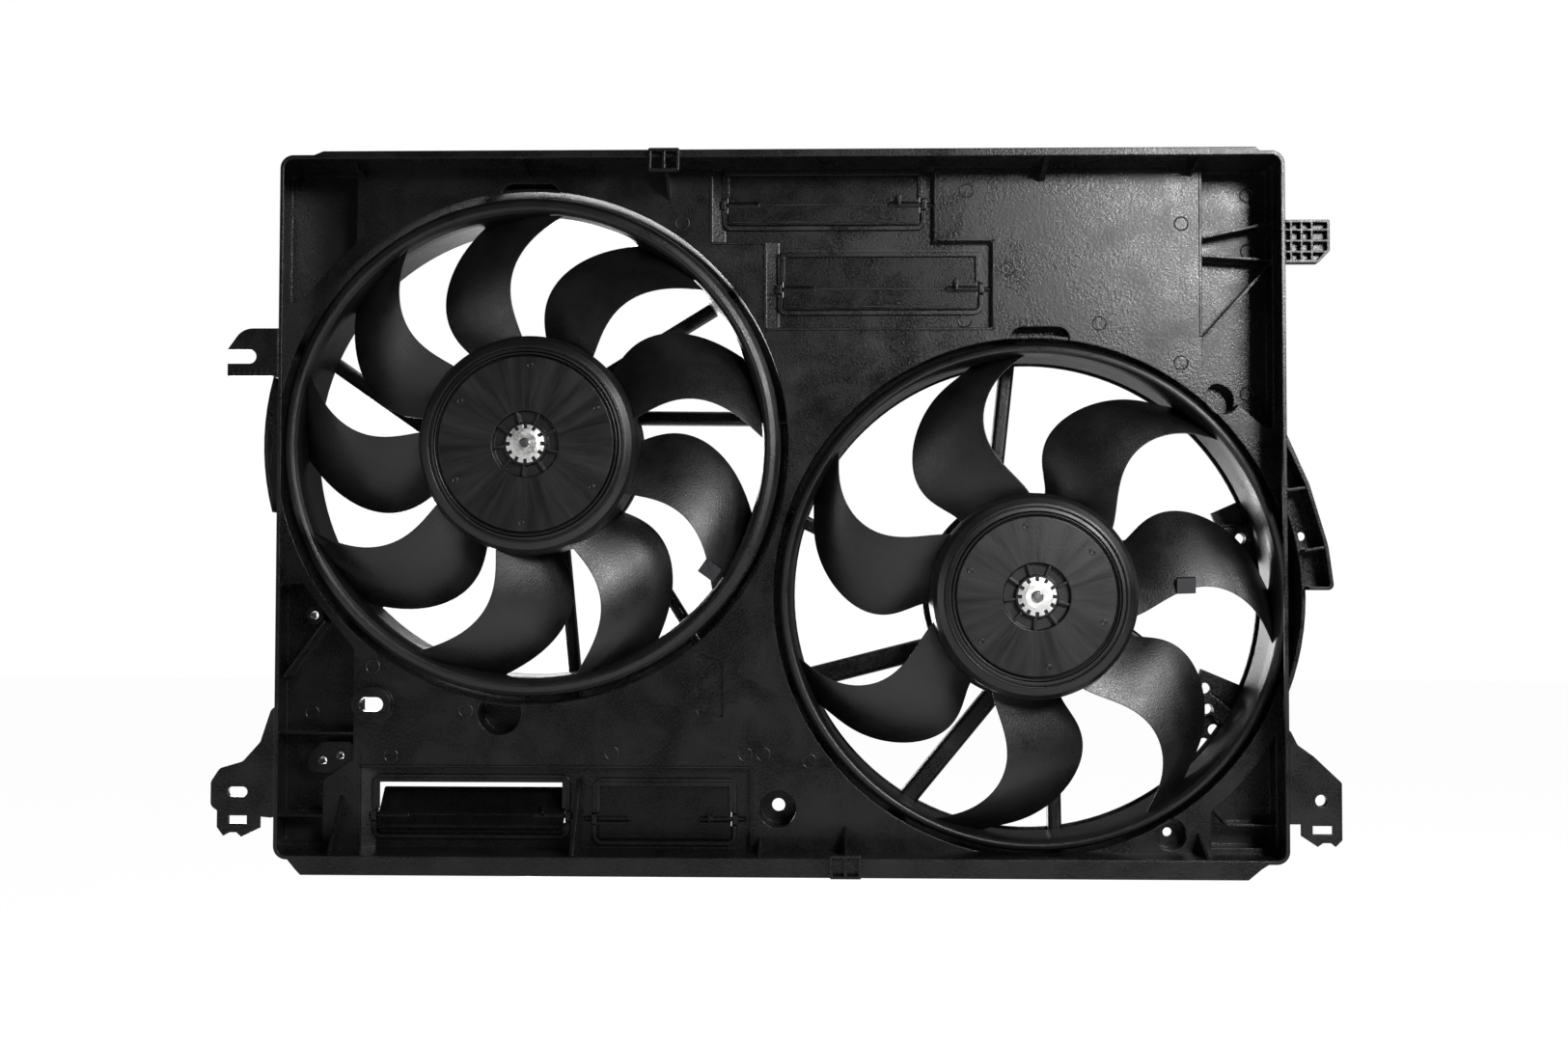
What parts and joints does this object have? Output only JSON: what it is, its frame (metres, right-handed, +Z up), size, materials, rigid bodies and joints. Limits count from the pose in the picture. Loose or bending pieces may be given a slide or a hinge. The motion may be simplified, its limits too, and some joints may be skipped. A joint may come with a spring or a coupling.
{
  "type": "dual radiator fan shroud",
  "caption": "Shallow moulded shroud with two ducted axial fans side by side at different heights, electric motors behind them, ram-air flaps and mounting tabs.",
  "frame": {"origin": "axis of the round hole in the lower right tab, at the tab's front face", "axes": "+X along the shroud's length to the right as seen from the radiator, +Y rearwards to the engine along the fans' axes, +Z up"},
  "size_m": [0.7705, 0.115, 0.4991],
  "materials": {
    "shroud_plastic": "mottled satin",
    "fan_plastic": "satin",
    "flap_plastic": "satin",
    "clip_plastic": "satin",
    "connector_plastic": "gloss",
    "card_plastic": "matt",
    "zinc": "bright zinc",
    "case_steel": "zinc plated",
    "shaft_steel": "ground",
    "core_steel": "laminated",
    "copper": "enamelled wire",
    "bearing_bronze": "sintered",
    "ferrite": "matt",
    "carbon": "matt"
  },
  "bodies": {
    "shroud": {"perimeter_wall": "shroud_plastic", "shroud_panel": "shroud_plastic", "lower_left_bracket": "shroud_plastic", "lower_right_bracket": "shroud_plastic", "upper_left_bracket": "shroud_plastic", "upper_right_bracket": "shroud_plastic", "side_ear": "shroud_plastic", "top_clip": "clip_plastic", "bottom_clip": "clip_plastic", "left_fan_barrel": "shroud_plastic", "left_motor_mount": "shroud_plastic", "left_motor_case": "case_steel", "left_motor_end_plate": "case_steel", "left_front_bearing": "bearing_bronze", "left_rear_bearing": "bearing_bronze", "left_magnets": "ferrite", "left_brush_card": "card_plastic", "left_brushes": "carbon", "left_brush_springs": "shaft_steel", "left_motor_screws": "zinc", "left_motor_connector": "connector_plastic", "right_fan_barrel": "shroud_plastic", "right_motor_mount": "shroud_plastic", "right_motor_case": "case_steel", "right_motor_end_plate": "case_steel", "right_front_bearing": "bearing_bronze", "right_rear_bearing": "bearing_bronze", "right_magnets": "ferrite", "right_brush_card": "card_plastic", "right_brushes": "carbon", "right_brush_springs": "shaft_steel", "right_motor_screws": "zinc", "right_motor_connector": "connector_plastic"},
    "left_fan": {"left_fan_hub": "fan_plastic", "left_fan_band": "fan_plastic", "left_fan_blades": "fan_plastic", "left_push_nut": "zinc", "left_balance_clip": "zinc", "left_shaft": "shaft_steel", "left_armature_core": "core_steel", "left_armature_winding": "copper", "left_commutator": "copper"},
    "right_fan": {"right_fan_hub": "fan_plastic", "right_fan_band": "fan_plastic", "right_fan_blades": "fan_plastic", "right_push_nut": "zinc", "right_balance_clip": "zinc", "right_shaft": "shaft_steel", "right_armature_core": "core_steel", "right_armature_winding": "copper", "right_commutator": "copper"},
    "upper_left_flap": {"upper_left_flap": "flap_plastic"},
    "upper_right_flap": {"upper_right_flap": "flap_plastic"},
    "lower_left_flap": {"lower_left_flap": "flap_plastic"},
    "lower_right_flap": {"lower_right_flap": "flap_plastic"}
  },
  "joints": [
    {"name": "left_fan_spin", "type": "hinge", "parent": "shroud", "child": "left_fan", "pos_m": [-0.54303, 0.05, 0.2427], "axis": [0, 1, 0], "continuous": true},
    {"name": "right_fan_spin", "type": "hinge", "parent": "shroud", "child": "right_fan", "pos_m": [-0.1894, 0.05, 0.1373], "axis": [0, 1, 0], "continuous": true},
    {"name": "upper_left_flap_hinge", "type": "hinge", "parent": "shroud", "child": "upper_left_flap", "pos_m": [-0.33626, 0.0414, 0.4149], "axis": [-1, 0, 0], "range_deg": [0, 70]},
    {"name": "upper_right_flap_hinge", "type": "hinge", "parent": "shroud", "child": "upper_right_flap", "pos_m": [-0.29621, 0.0414, 0.3547], "axis": [-1, 0, 0], "range_deg": [0, 70]},
    {"name": "lower_left_flap_hinge", "type": "hinge", "parent": "shroud", "child": "lower_left_flap", "pos_m": [-0.58486, 0.0414, -0.0181], "axis": [-1, 0, 0], "range_deg": [-45, 25]},
    {"name": "lower_right_flap_hinge", "type": "hinge", "parent": "shroud", "child": "lower_right_flap", "pos_m": [-0.44786, 0.0414, -0.0199], "axis": [-1, 0, 0], "range_deg": [0, 70]}
  ]
}
